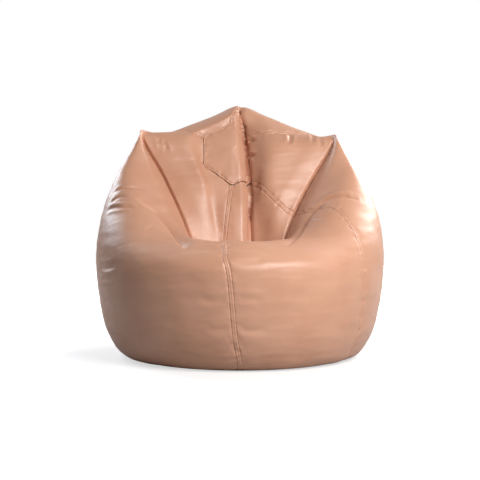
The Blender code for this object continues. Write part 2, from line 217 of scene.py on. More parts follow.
@dataclass
class BagShape:
    """The sizes and control rings of the filled bag."""

    radius: float = 0.431
    base_radius: float = 0.322
    back_flat: float = 0.4295
    cap_centre: Vector = field(default_factory=lambda: Vector((-0.026, 0.121, 0.612)))
    cap_radius: float = 0.098
    cap_corners: tuple[tuple[float, float], ...] = (
        (0.000, -0.116), (0.056, -0.093), (0.046, 0.056), (0.000, 0.098), (-0.085, 0.049), (-0.085, -0.049),
    )
    cap_lean: float = math.radians(62)
    cap_surround: float = 0.45
    cap_surround_lift: float = 0.012
    left_ear_rise: float = 0.016
    left_seat_spread: tuple[float, ...] = (1.12, 1.12, 1.12, 1.06, 1.05, 1.0, 1.0, 1.0)
    left_crest_spread: tuple[float, ...] = (1.0, 1.0, 1.03, 1.03, 1.03, 1.02, 1.0, 1.0)

    def turned(self, column: float) -> Vector:
        """The direction, in plan, of a column."""
        angle = column * math.tau / COLUMNS
        return Vector((math.sin(angle), -math.cos(angle), 0.0))

    def round_ring(self, radius: float, height: float, back: float | None = None) -> list[Vector]:
        """A round ring, which may reach less far back.

        Args:
            radius: The ring's radius.
            height: Its height above the floor.
            back: How far back its middle reaches, where that is less than the radius.

        Returns:
            The ring's points, one for each column.
        """
        ring = [self.turned(column) * radius + Vector((0, 0, height)) for column in range(COLUMNS)]
        if back is not None:
            ring[COLUMNS // 2].y = back
        return ring

    def mirrored_ring(
        self, right_half: list[tuple[float, float, float]], spread: tuple[float, ...] = ()
    ) -> list[Vector]:
        """Makes a whole ring from its right half.

        Args:
            right_half: The points from the middle of the front to the middle of the back.
            spread: How much further out each point between those two lies on the left.

        Returns:
            The ring, whose left side also has a higher ear.
        """
        right = [Vector(point) for point in right_half]
        left = []
        for point, share in reversed(list(zip(right[1:-1], spread or (1.0,) * 8))):
            near_ear = max(0.0, 1.0 - abs(point.y - 0.11) / 0.12) * min(1.0, max(0.0, (point.z - 0.45) / 0.15))
            left.append(Vector((-point.x * share, point.y, point.z + self.left_ear_rise * near_ear)))
        return right + left

    def cap_out(self) -> Vector:
        """The direction that the cap faces."""
        return Vector((0, -math.sin(self.cap_lean), math.cos(self.cap_lean)))

    def cap_ring(self, scale: float = 1.0, lift: float = 0.0) -> list[Vector]:
        """A six-cornered ring round the cap's centre, with a corner at every third column.

        Args:
            scale: The ring's size, as a share of the cap's.
            lift: How far it stands out from the cap's plane.

        Returns:
            The ring's points, one for each column.
        """
        up_slope = Vector((0, math.cos(self.cap_lean), math.sin(self.cap_lean)))
        centre = self.cap_centre + lift * self.cap_out()
        corners = [centre + scale * (Vector((across, 0, 0)) + up * up_slope) for across, up in self.cap_corners]
        ring = []
        for side in range(6):
            start, end = corners[side], corners[(side + 1) % 6]
            ring += [start.lerp(end, step / 3) for step in range(3)]
        return ring

    def rings(self) -> np.ndarray:
        """Lists the control rings, from the base seam to the cap's middle.

        Returns:
            Points, as an array of row, column and x, y, z.
        """
        shoulder = [
            (0.000, -0.405, 0.328), (0.138, -0.377, 0.331), (0.258, -0.296, 0.348), (0.350, -0.190, 0.396),
            (0.404, -0.062, 0.424), (0.408, 0.064, 0.428), (0.362, 0.202, 0.424), (0.274, 0.314, 0.422),
            (0.146, 0.398, 0.420), (0.000, 0.4295, 0.420),
        ]
        crest = [
            (0.000, -0.322, 0.364), (0.104, -0.300, 0.364), (0.204, -0.226, 0.378), (0.288, -0.130, 0.460),
            (0.344, -0.022, 0.543), (0.334, 0.075, 0.574), (0.310, 0.184, 0.560), (0.246, 0.276, 0.574),
            (0.134, 0.352, 0.582), (0.000, 0.382, 0.578),
        ]
        inner_lip = [
            (0.000, -0.226, 0.342), (0.082, -0.212, 0.346), (0.158, -0.150, 0.372), (0.222, -0.074, 0.446),
            (0.276, 0.018, 0.556), (0.297, 0.086, 0.654), (0.270, 0.166, 0.644), (0.210, 0.238, 0.656),
            (0.112, 0.294, 0.678), (0.000, 0.318, 0.690),
        ]
        valley = [
            (0.000, -0.104, 0.248), (0.052, -0.092, 0.258), (0.102, -0.058, 0.312), (0.150, -0.012, 0.423),
            (0.213, 0.046, 0.534), (0.280, 0.098, 0.644), (0.226, 0.166, 0.656), (0.170, 0.214, 0.682),
            (0.088, 0.246, 0.714), (0.000, 0.258, 0.744),
        ]
        backrest_edge = [
            (0.000, -0.030, 0.300), (0.036, -0.024, 0.312), (0.070, -0.006, 0.352), (0.108, 0.018, 0.464),
            (0.162, 0.066, 0.552), (0.212, 0.108, 0.634), (0.172, 0.164, 0.666), (0.128, 0.196, 0.692),
            (0.062, 0.212, 0.722), (0.000, 0.216, 0.752),
        ]
        cap = self.cap_ring()
        edge = self.mirrored_ring(backrest_edge, self.left_crest_spread)
        lift = self.cap_out() * self.cap_surround_lift
        rings = [
            self.round_ring(self.base_radius, FLOOR_GAP),
            self.round_ring(0.354, 0.010),
            self.round_ring(0.383, 0.046, back=0.400),
            self.round_ring(0.411, 0.118, back=self.back_flat),
            self.round_ring(self.radius, 0.278, back=self.back_flat),
            self.mirrored_ring(shoulder),
            self.mirrored_ring(crest, self.left_crest_spread),
            self.mirrored_ring(inner_lip, self.left_crest_spread),
            self.mirrored_ring(valley, self.left_seat_spread),
            edge,
            [inner.lerp(outer, self.cap_surround) + lift for inner, outer in zip(cap, edge)],
            cap,
            self.cap_ring(0.0, lift=0.006),
        ]
        return np.array([[tuple(point) for point in ring] for ring in rings])


class Profile(Enum):
    """How a fold is shaped across its line."""

    CREASE = "two rounded sides that meet in a sharp line"
    WRINKLE = "a soft groove with a low ridge on each side"
    SWELL = "a soft bulge"


@dataclass(frozen=True)
class Fold:
    """One fold of the cover, along a smooth line on it."""

    path: tuple[tuple[float, float], ...]
    depth: float
    width: float
    profile: Profile = Profile.WRINKLE
    seen: bool = False
    beyond: float = -1.0
    lip_width: float = 0.0
    tuck: float = 0.0
    tuck_ramp: float = 0.006
    start: float = 0.0
    end: float = 0.0
    fade: float = 0.3

    def line(self, loft: Loft, count: int = 40) -> np.ndarray:
        """Samples the fold's line on a surface. Its path holds u and v, or x and z where it is as seen.

        Args:
            loft: The surface that the fold lies on.
            count: How many points to sample.

        Returns:
            The points along the line.
        """
        knots = np.array(self.path, float)
        place = np.linspace(0, len(knots) - 1, count)
        first = np.clip(np.floor(place).astype(int), 0, len(knots) - 2)
        padded = np.vstack([2 * knots[0] - knots[1], knots, 2 * knots[-1] - knots[-2]])
        smooth = cubic(*(padded[first + step] for step in range(4)), (place - first)[:, None])
        if self.seen:
            return loft.seen_from_front(smooth, self.beyond)
        return loft.at(smooth[:, 0], smooth[:, 1])

    def press(self, line: np.ndarray, points: np.ndarray, normals: np.ndarray) -> np.ndarray:
        """Works out how the fold moves points of the cover.

        Args:
            line: The fold's line, from line().
            points: Places on the cover, one row each.
            normals: The cover's outward directions there.

        Returns:
            Moves, one row for each point.
        """
        moves = np.zeros_like(points)
        reach = self.width * (3.2 if self.profile is Profile.WRINKLE else 2.2)
        inside = np.all((points > line.min(0) - reach) & (points < line.max(0) + reach), axis=1)
        if not inside.any():
            return moves
        near, out = points[inside], normals[inside]
        start, step = line[:-1], np.diff(line, axis=0)
        offset = near[:, None, :] - start[None]
        share = np.clip((offset * step).sum(-1) / np.maximum((step**2).sum(-1), 1e-12), 0, 1)
        gap = offset - share[..., None] * step
        best = np.argmin((gap**2).sum(-1), axis=1)
        pick = np.arange(len(near))
        gap, along = gap[pick, best], (best + share[pick, best]) / len(step)
        sideways = unit(np.cross(unit(step[best]), out))
        side = (gap * sideways).sum(-1)
        distance = np.linalg.norm(gap, axis=1)
        strength = (self.start + (1 - self.start) * smooth_step(0, self.fade, along)) * (
            self.end + (1 - self.end) * smooth_step(0, self.fade, 1 - along)
        )
        if self.profile is Profile.CREASE:
            width = np.where(side > 0, self.width, self.lip_width or self.width)
            shape = -np.clip(1 - distance / width, 0, 1) ** 2
        elif self.profile is Profile.SWELL:
            shape = np.exp(-((distance / self.width) ** 2))
        else:
            groove = np.exp(-((distance / self.width) ** 2))
            ridge = np.exp(-(((distance - 1.9 * self.width) / (0.9 * self.width)) ** 2))
            shape = -groove + 0.45 * ridge
        moves[inside] = out * (self.depth * strength * shape)[:, None]
        if self.tuck:
            under = np.where(side > 0, np.clip(1 - distance / (3 * self.width), 0, 1) ** 2, 0.0)
            under *= smooth_step(0, self.tuck_ramp, distance)
            moves[inside] -= sideways * (self.tuck * strength * under)[:, None]
        return moves


@dataclass(frozen=True)
class FoldSet:
    """Folds that are pressed into the cover together."""

    folds: tuple[Fold, ...]

    def press(self, loft: Loft, points: np.ndarray, normals: np.ndarray) -> np.ndarray:
        """Adds up how all the folds move points of the cover.

        Args:
            loft: The surface that the folds lie on.
            points: Places on the cover.
            normals: The cover's outward directions there.

        Returns:
            Moves, one for each point.
        """
        flat, out = points.reshape(-1, 3), normals.reshape(-1, 3)
        total = np.zeros_like(flat)
        for fold in self.folds:
            total += fold.press(fold.line(loft), flat, out)
        return total.reshape(points.shape)


RIGHT_CREASE = ((1.2, 8.0), (2.0, 8.0), (3.0, 8.0), (4.0, 8.0), (4.6, 8.0), (5.05, 7.9))
LEFT_CREASE = ((16.8, 8.0), (16.0, 8.0), (15.0, 8.0), (14.0, 8.0), (13.4, 8.0), (12.95, 7.9))
CENTRE_CREASE = ((0.032, 0.250), (0.032, 0.300), (0.033, 0.342), (0.031, 0.420), (0.028, 0.480), (0.027, 0.522),
                 (0.021, 0.605), (0.015, 0.652), (0.009, 0.690), (0.005, 0.715), (0.001, 0.738))

MAIN_FOLDS = FoldSet((
    Fold(RIGHT_CREASE, 0.016, 0.060, Profile.CREASE, start=0.2, end=0.3, fade=0.3),
    Fold(LEFT_CREASE, 0.012, 0.060, Profile.CREASE, start=0.2, end=0.3, fade=0.3),
    Fold(CENTRE_CREASE, 0.030, 0.085, Profile.CREASE, True, -0.10, lip_width=0.030, start=0.2, end=0.4, fade=0.2),
))

SHARP_FOLDS = FoldSet((
    Fold(RIGHT_CREASE, 0.018, 0.008, Profile.CREASE, start=0.2, end=0.15, fade=0.12),
    Fold(LEFT_CREASE, 0.016, 0.0065, Profile.CREASE, start=0.2, end=0.15, fade=0.12),
    Fold(CENTRE_CREASE, 0.026, 0.020, Profile.CREASE, True, -0.10, lip_width=0.008, tuck=0.012, start=0.2, end=0.5,
         fade=0.1),
))

WRINKLES = FoldSet((
    Fold(((-0.176, 0.330), (-0.194, 0.358), (-0.216, 0.388), (-0.238, 0.414), (-0.254, 0.430), (-0.284, 0.450),
          (-0.322, 0.474)), 0.026, 0.045, Profile.CREASE, True, lip_width=0.009, start=0.5, fade=0.35),
    Fold(((0.262, 0.462), (0.240, 0.447), (0.224, 0.434), (0.204, 0.410), (0.190, 0.384), (0.170, 0.355),
          (0.152, 0.336)), 0.014, 0.040, Profile.CREASE, True, lip_width=0.012, end=0.5, fade=0.3),
    Fold(((-0.380, 0.488), (-0.371, 0.493), (-0.348, 0.502), (-0.327, 0.502), (-0.306, 0.500),
          (-0.284, 0.492)), 0.0035, 0.0055, seen=True),
    Fold(((-0.388, 0.456), (-0.384, 0.460), (-0.368, 0.472), (-0.350, 0.476), (-0.330, 0.474)), 0.0030, 0.0055,
         seen=True),
    Fold(((-0.404, 0.428), (-0.383, 0.441), (-0.354, 0.444), (-0.334, 0.446), (-0.310, 0.438)), 0.0045, 0.0070,
         seen=True),
    Fold(((-0.288, 0.375), (-0.268, 0.382), (-0.252, 0.381)), 0.0015, 0.006, seen=True),
    Fold(((-0.242, 0.343), (-0.222, 0.348), (-0.202, 0.345)), 0.0018, 0.005, seen=True),
    Fold(((0.225, 0.444), (0.249, 0.461), (0.282, 0.475), (0.315, 0.480), (0.345, 0.470)), 0.010, 0.0075, seen=True,
         end=0.2),
    Fold(((0.204, 0.409), (0.222, 0.412), (0.240, 0.415)), 0.002, 0.005, seen=True),
    Fold(((0.196, 0.397), (0.222, 0.402), (0.252, 0.409)), 0.0025, 0.005, seen=True),
    Fold(((0.193, 0.383), (0.230, 0.384), (0.288, 0.389)), 0.002, 0.005, seen=True),
    Fold(((0.150, 0.663), (0.150, 0.652), (0.148, 0.630)), 0.005, 0.006, seen=True),
    Fold(((0.216, 0.662), (0.217, 0.652), (0.219, 0.634)), 0.003, 0.006, seen=True),
    Fold(((0.236, 0.652), (0.240, 0.642), (0.244, 0.622)), 0.003, 0.006, seen=True),
    Fold(((0.028, 0.640), (0.034, 0.645), (0.044, 0.646)), 0.007, 0.006, seen=True),
    Fold(((0.029, 0.598), (0.035, 0.601), (0.046, 0.600)), 0.007, 0.006, seen=True),
    Fold(((-0.231, 0.648), (-0.224, 0.630), (-0.216, 0.606)), 0.003, 0.006, seen=True),
    Fold(((-0.246, 0.652), (-0.240, 0.636), (-0.232, 0.618)), 0.003, 0.006, seen=True),
    Fold(((-0.034, 0.592), (-0.032, 0.575), (-0.030, 0.560)), -0.004, 0.024, Profile.SWELL, seen=True),
    Fold(((-0.045, 0.315), (-0.120, 0.318), (-0.200, 0.305)), 0.0022, 0.012, seen=True),
    Fold(((-0.050, 0.280), (-0.110, 0.276), (-0.170, 0.266)), 0.0018, 0.012, seen=True),
    Fold(((-0.030, 0.165), (-0.080, 0.160), (-0.130, 0.168)), 0.0016, 0.010, seen=True),
    Fold(((-0.025, 0.075), (-0.070, 0.072), (-0.110, 0.080)), 0.0016, 0.010, seen=True),
    Fold(((-0.036, 0.320), (0.040, 0.318), (0.110, 0.308)), 0.0024, 0.012, seen=True),
    Fold(((-0.034, 0.278), (0.030, 0.276), (0.080, 0.282)), 0.0018, 0.012, seen=True),
    Fold(((-0.022, 0.165), (0.030, 0.166), (0.080, 0.158)), 0.0018, 0.010, seen=True),
    Fold(((-0.016, 0.075), (0.040, 0.070), (0.090, 0.078)), 0.0018, 0.010, seen=True),
    Fold(((-0.424, 0.265), (-0.400, 0.262), (-0.372, 0.268)), 0.003, 0.008, seen=True),
    Fold(((-0.423, 0.230), (-0.402, 0.228), (-0.378, 0.232)), 0.003, 0.007, seen=True),
))


# Making meshes


def grid_mesh(name: str, points: np.ndarray, round_join: bool = False) -> bpy.types.Mesh:
    """Makes a smooth mesh from a grid of points.

    Args:
        name: The mesh's name.
        points: Rows of points, as an array of row, column and x, y, z. Faces point out where rows run up the
            bag and columns run round it in the direction of u.
        round_join: Whether the last column meets the first, and whether a last row at one point is closed.

    Returns:
        The mesh.
    """
    rows, columns = points.shape[:2]
    bm = bmesh.new()
    bmesh.ops.create_grid(bm, x_segments=columns - 1, y_segments=rows - 1, size=1.0)
    for vert in bm.verts:
        column = round((vert.co.x + 1) / 2 * (columns - 1))
        row = round((vert.co.y + 1) / 2 * (rows - 1))
        vert.co = points[row, column]
    if round_join:
        bmesh.ops.remove_doubles(bm, verts=bm.verts, dist=2e-6)
    bm.normal_update()
    mesh = bpy.data.meshes.new(name)
    bm.to_mesh(mesh)
    bm.free()
    mesh.shade_smooth()
    return mesh


def add_piece(
    name: str, mesh: bpy.types.Mesh, material: bpy.types.Material, body: str
) -> bpy.types.Object:
    """Puts a mesh in the scene as a finished piece that rides on a body.

    Args:
        name: The piece's name.
        mesh: Its mesh.
        material: Its finish.
        body: The body that it moves with.

    Returns:
        The piece.
    """
    mesh.materials.clear()
    mesh.materials.append(material)
    obj = bpy.data.objects.new(name, mesh)
    bpy.context.scene.collection.objects.link(obj)
    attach(obj, body)
    LOG.info("%s: %d faces", name, len(mesh.polygons))
    return obj


def add_wall(obj: bpy.types.Object, thickness: float) -> None:
    """Gives an open sheet its thickness, inwards.

    Args:
        obj: The sheet.
        thickness: The wall's thickness.
    """
    wall = obj.modifiers.new("Wall", "SOLIDIFY")
    wall.thickness = thickness
    wall.offset = -1.0
    wall.use_rim = True


# The filled bag


@dataclass
class FilledBag:
    """The filled bag's smooth surface, with its main creases."""

    shape: BagShape
    columns: int = 216
    rows: int = 132
    smoothing: int = 7

    def start_loft(self) -> Loft:
        """Samples the control rings finely, softens their joins and presses the main creases in.

        Returns:
            The surface.
        """
        coarse = Loft(self.shape.rings())
        u, v = np.meshgrid(np.arange(self.columns) * COLUMNS / self.columns, np.linspace(0, CAP_MIDDLE, self.rows))
        points = coarse.at(u, v)
        for _ in range(self.smoothing):
            sideways = (np.roll(points, 1, 1) + np.roll(points, -1, 1)) / 2
            lengthways = (points[:-2] + points[2:]) / 2
            points[1:-1] = 0.4 * points[1:-1] + 0.2 * sideways[1:-1] + 0.4 * lengthways
        loft = self.as_loft(points)
        normals = loft.normals(u, v)
        points = points + MAIN_FOLDS.press(loft, points, normals)
        points[..., 2] = np.maximum(points[..., 2], FLOOR_GAP)
        return self.as_loft(points)

    def as_loft(self, points: np.ndarray) -> Loft:
        """Wraps a fine grid as a surface with the same u and v."""
        return Loft(points, self.columns / COLUMNS, (self.rows - 1) / CAP_MIDDLE)


@dataclass(frozen=True)
class Seam:
    """A seam that runs up the bag from the base to the cap."""

    name: str
    knots: tuple[tuple[float, float], ...]
    zipped: bool = False

    def u_at(self, v: np.ndarray) -> np.ndarray:
        """Reads where round the bag the seam lies at each height.

        Args:
            v: Places up the bag.

        Returns:
            Places round the bag, one for each height.
        """
        heights, turns = np.array(self.knots).T
        slopes = np.gradient(turns, heights)
        place = np.clip(np.searchsorted(heights, v, side="right") - 1, 0, len(heights) - 2)
        span = heights[place + 1] - heights[place]
        t = np.clip((np.asarray(v) - heights[place]) / span, 0, 1)
        start, end = turns[place], turns[place + 1]
        return (
            (2 * t**3 - 3 * t**2 + 1) * start
            + (t**3 - 2 * t**2 + t) * span * slopes[place]
            + (3 * t**2 - 2 * t**3) * end
            + (t**3 - t**2) * span * slopes[place + 1]
        )


FRONT_SEAM = Seam("front_seam", (
    (0, 0.0), (1.8, -0.02), (3.1, -0.12), (4.6, -0.26), (5.8, -0.40), (7, -0.72), (8, -1.1), (9.3, -1.27),
    (10, -0.73), (11, 0.0),
))
RIGHT_SEAM = Seam("right_seam", (
    (0, 3.05), (1.5, 3.02), (2.4, 2.9), (3.2, 2.84), (4.4, 2.72), (5.2, 2.76), (6.2, 2.9), (7.2, 2.98),
    (8, 3.08), (9, 3.0), (11, 3.0),
))
BACK_RIGHT_SEAM = Seam("back_right_seam", ((0, 6.0), (6, 6.0), (11, 6.0)))
BACK_SEAM = Seam("back_seam", ((0, 9.0), (6, 9.0), (11, 9.0)), zipped=True)
BACK_LEFT_SEAM = Seam("back_left_seam", ((0, 12.0), (6, 12.0), (11, 12.0)))


# Finishes


class Nodes:
    """Builds one material's node tree."""

    def __init__(self, name: str) -> None:
        """Starts a material with a plain shader.

        Args:
            name: The material's name.
        """
        self.material = bpy.data.materials.new(name)
        self.material.use_nodes = True
        self.tree = self.material.node_tree
        self.shader = self.tree.nodes["Principled BSDF"]
        self.place = self.add("ShaderNodeTexCoord").outputs["Object"]

    def add(self, kind: str, **settings: object) -> bpy.types.Node:
        """Adds a node with some settings.

        Args:
            kind: The node's type.
            settings: Its properties, by name.

        Returns:
            The node.
        """
        node = self.tree.nodes.new(kind)
        for name, value in settings.items():
            setattr(node, name, value)
        return node

    def join(self, source: bpy.types.NodeSocket, target: bpy.types.NodeSocket) -> None:
        """Links two sockets."""
        self.tree.links.new(source, target)

    def noise(self, scale: float, detail: float = 3.0) -> bpy.types.NodeSocket:
        """Adds a noise pattern on the piece.

        Args:
            scale: How fine the pattern is.
            detail: How much smaller detail it has.

        Returns:
            The pattern, from 0 to 1.
        """
        node = self.add("ShaderNodeTexNoise")
        node.inputs["Scale"].default_value = scale
        node.inputs["Detail"].default_value = detail
        self.join(self.place, node.inputs["Vector"])
        return node.outputs["Fac"]

    def cells(self, scale: float) -> bpy.types.NodeSocket:
        """Adds a pattern of pebbled cells on the piece.

        Args:
            scale: How many cells there are to a metre.

        Returns:
            The distance from each cell's middle.
        """
        node = self.add("ShaderNodeTexVoronoi", feature="SMOOTH_F1")
        node.inputs["Scale"].default_value = scale
        node.inputs["Smoothness"].default_value = 0.6
        self.join(self.place, node.inputs["Vector"])
        return node.outputs["Distance"]

    def ramp(self, source: bpy.types.NodeSocket, low: tuple, high: tuple, start: float = 0.3,
             end: float = 0.7) -> bpy.types.NodeSocket:
        """Turns a pattern into a blend of two colours.

        Args:
            source: The pattern.
            low: The colour at its low end.
            high: The colour at its high end.
            start: The pattern's value where the blend starts.
            end: The pattern's value where the blend ends.

        Returns:
            The colour.
        """
        node = self.add("ShaderNodeValToRGB")
        node.color_ramp.elements[0].position = start
        node.color_ramp.elements[0].color = (*low, 1.0)
        node.color_ramp.elements[1].position = end
        node.color_ramp.elements[1].color = (*high, 1.0)
        self.join(source, node.inputs["Fac"])
        return node.outputs["Color"]

    def spread(self, source: bpy.types.NodeSocket, low: float, high: float) -> bpy.types.NodeSocket:
        """Maps a pattern onto a range of values.

        Args:
            source: The pattern.
            low: The least value.
            high: The greatest value.

        Returns:
            The value.
        """
        node = self.add("ShaderNodeMapRange")
        node.inputs["From Min"].default_value = 0.3
        node.inputs["From Max"].default_value = 0.7
        node.inputs["To Min"].default_value = low
        node.inputs["To Max"].default_value = high
        self.join(source, node.inputs["Value"])
        return node.outputs["Result"]

    def bump(self, source: bpy.types.NodeSocket, distance: float, strength: float,
             under: bpy.types.NodeSocket | None = None) -> bpy.types.NodeSocket:
        """Adds a bump from a pattern, over another bump if one is given.

        Args:
            source: The pattern.
            distance: The height of its bumps.
            strength: How strongly they show.
            under: Another bump's normal, which these bumps lie on.

        Returns:
            The normal.
        """
        node = self.add("ShaderNodeBump")
        node.inputs["Distance"].default_value = distance
        node.inputs["Strength"].default_value = strength
        self.join(source, node.inputs["Height"])
        if under is not None:
            self.join(under, node.inputs["Normal"])
        return node.outputs["Normal"]


@dataclass(frozen=True)
class Leatherette:
    """Smooth coated cloth with a fine pebbled grain."""

    pale: tuple[float, float, float] = (0.660, 0.352, 0.232)
    deep: tuple[float, float, float] = (0.600, 0.300, 0.190)
    roughness: tuple[float, float] = (0.40, 0.48)
    grain_per_metre: float = 620.0
    grain_depth: float = 0.00022

    def make(self) -> bpy.types.Material:
        """Builds the material.

        Returns:
            The material.
        """
        nodes = Nodes("leatherette")
        nodes.join(nodes.ramp(nodes.noise(9.0, 4.0), self.deep, self.pale), nodes.shader.inputs["Base Color"])
        nodes.join(nodes.spread(nodes.noise(60.0), *self.roughness), nodes.shader.inputs["Roughness"])
        crumple = nodes.bump(nodes.noise(26.0, 2.0), 0.0016, 0.35)
        grain = nodes.bump(nodes.cells(self.grain_per_metre), self.grain_depth, 0.5, crumple)
        nodes.join(grain, nodes.shader.inputs["Normal"])
        nodes.shader.inputs["Specular IOR Level"].default_value = 0.75
        nodes.shader.inputs["Sheen Weight"].default_value = 0.05
        return nodes.material


@dataclass(frozen=True)
class Thread:
    """Twisted polyester sewing thread."""

    pale: tuple[float, float, float] = (0.70, 0.46, 0.33)
    deep: tuple[float, float, float] = (0.52, 0.31, 0.21)

    def make(self) -> bpy.types.Material:
        """Builds the material.

        Returns:
            The material.
        """
        nodes = Nodes("thread")
        twist = nodes.noise(2400.0, 1.0)
        nodes.join(nodes.ramp(twist, self.deep, self.pale), nodes.shader.inputs["Base Color"])
        nodes.join(nodes.bump(twist, 0.0002, 0.5), nodes.shader.inputs["Normal"])
        nodes.shader.inputs["Roughness"].default_value = 0.62
        return nodes.material


@dataclass(frozen=True)
class WovenCloth:
    """Plainly woven cloth."""

    name: str
    pale: tuple[float, float, float]
    deep: tuple[float, float, float]
    threads_per_metre: float

    def make(self) -> bpy.types.Material:
        """Builds the material.

        Returns:
            The material.
        """
        nodes = Nodes(self.name)
        waves = []
        for direction in ("X", "Z"):
            wave = nodes.add("ShaderNodeTexWave", bands_direction=direction)
            wave.inputs["Scale"].default_value = self.threads_per_metre / math.tau
            nodes.join(nodes.place, wave.inputs["Vector"])
            waves.append(wave.outputs["Fac"])
        weave = nodes.add("ShaderNodeMath", operation="MULTIPLY")
        nodes.join(waves[0], weave.inputs[0])
        nodes.join(waves[1], weave.inputs[1])
        cloth = weave.outputs["Value"]
        nodes.join(nodes.ramp(cloth, self.deep, self.pale, 0.0, 0.8), nodes.shader.inputs["Base Color"])
        nodes.join(nodes.bump(cloth, 0.0003, 0.5), nodes.shader.inputs["Normal"])
        nodes.shader.inputs["Roughness"].default_value = 0.86
        return nodes.material


@dataclass(frozen=True)
class Moulded:
    """Moulded nylon, or die-cast metal."""

    name: str
    colour: tuple[float, float, float]
    roughness: float
    metallic: float

    def make(self) -> bpy.types.Material:
        """Builds the material.

        Returns:
            The material.
        """
        nodes = Nodes(self.name)
        worn = tuple(min(1.0, part * 1.12) for part in self.colour)
        nodes.join(nodes.ramp(nodes.noise(300.0), self.colour, worn), nodes.shader.inputs["Base Color"])
        nodes.join(
            nodes.spread(nodes.noise(900.0), self.roughness * 0.85, self.roughness * 1.2),
            nodes.shader.inputs["Roughness"],
        )
        nodes.join(nodes.bump(nodes.noise(1400.0), 0.00005, 0.3), nodes.shader.inputs["Normal"])
        nodes.shader.inputs["Metallic"].default_value = self.metallic
        return nodes.material


@dataclass(frozen=True)
class Beads:
    """Small round beads of expanded polystyrene, with painted shade in the gaps between them."""

    beads_per_metre: float = 260.0

    def make(self) -> bpy.types.Material:
        """Builds the material.

        Returns:
            The material.
        """
        nodes = Nodes("beads")
        bead_cells_and_gap_shade = nodes.cells(self.beads_per_metre)
        # Painted shade: the colour ramp turns each bead from white at its middle to grey towards the gaps between
        # beads. The same pattern also sinks those gaps as bumps.
        nodes.join(
            nodes.ramp(bead_cells_and_gap_shade, (0.95, 0.95, 0.94), (0.62, 0.62, 0.60), 0.2, 0.9), nodes.shader.inputs["Base Color"]
        )
        nodes.join(nodes.bump(bead_cells_and_gap_shade, -0.003, 0.9), nodes.shader.inputs["Normal"])
        nodes.shader.inputs["Roughness"].default_value = 0.55
        return nodes.material


# The cover


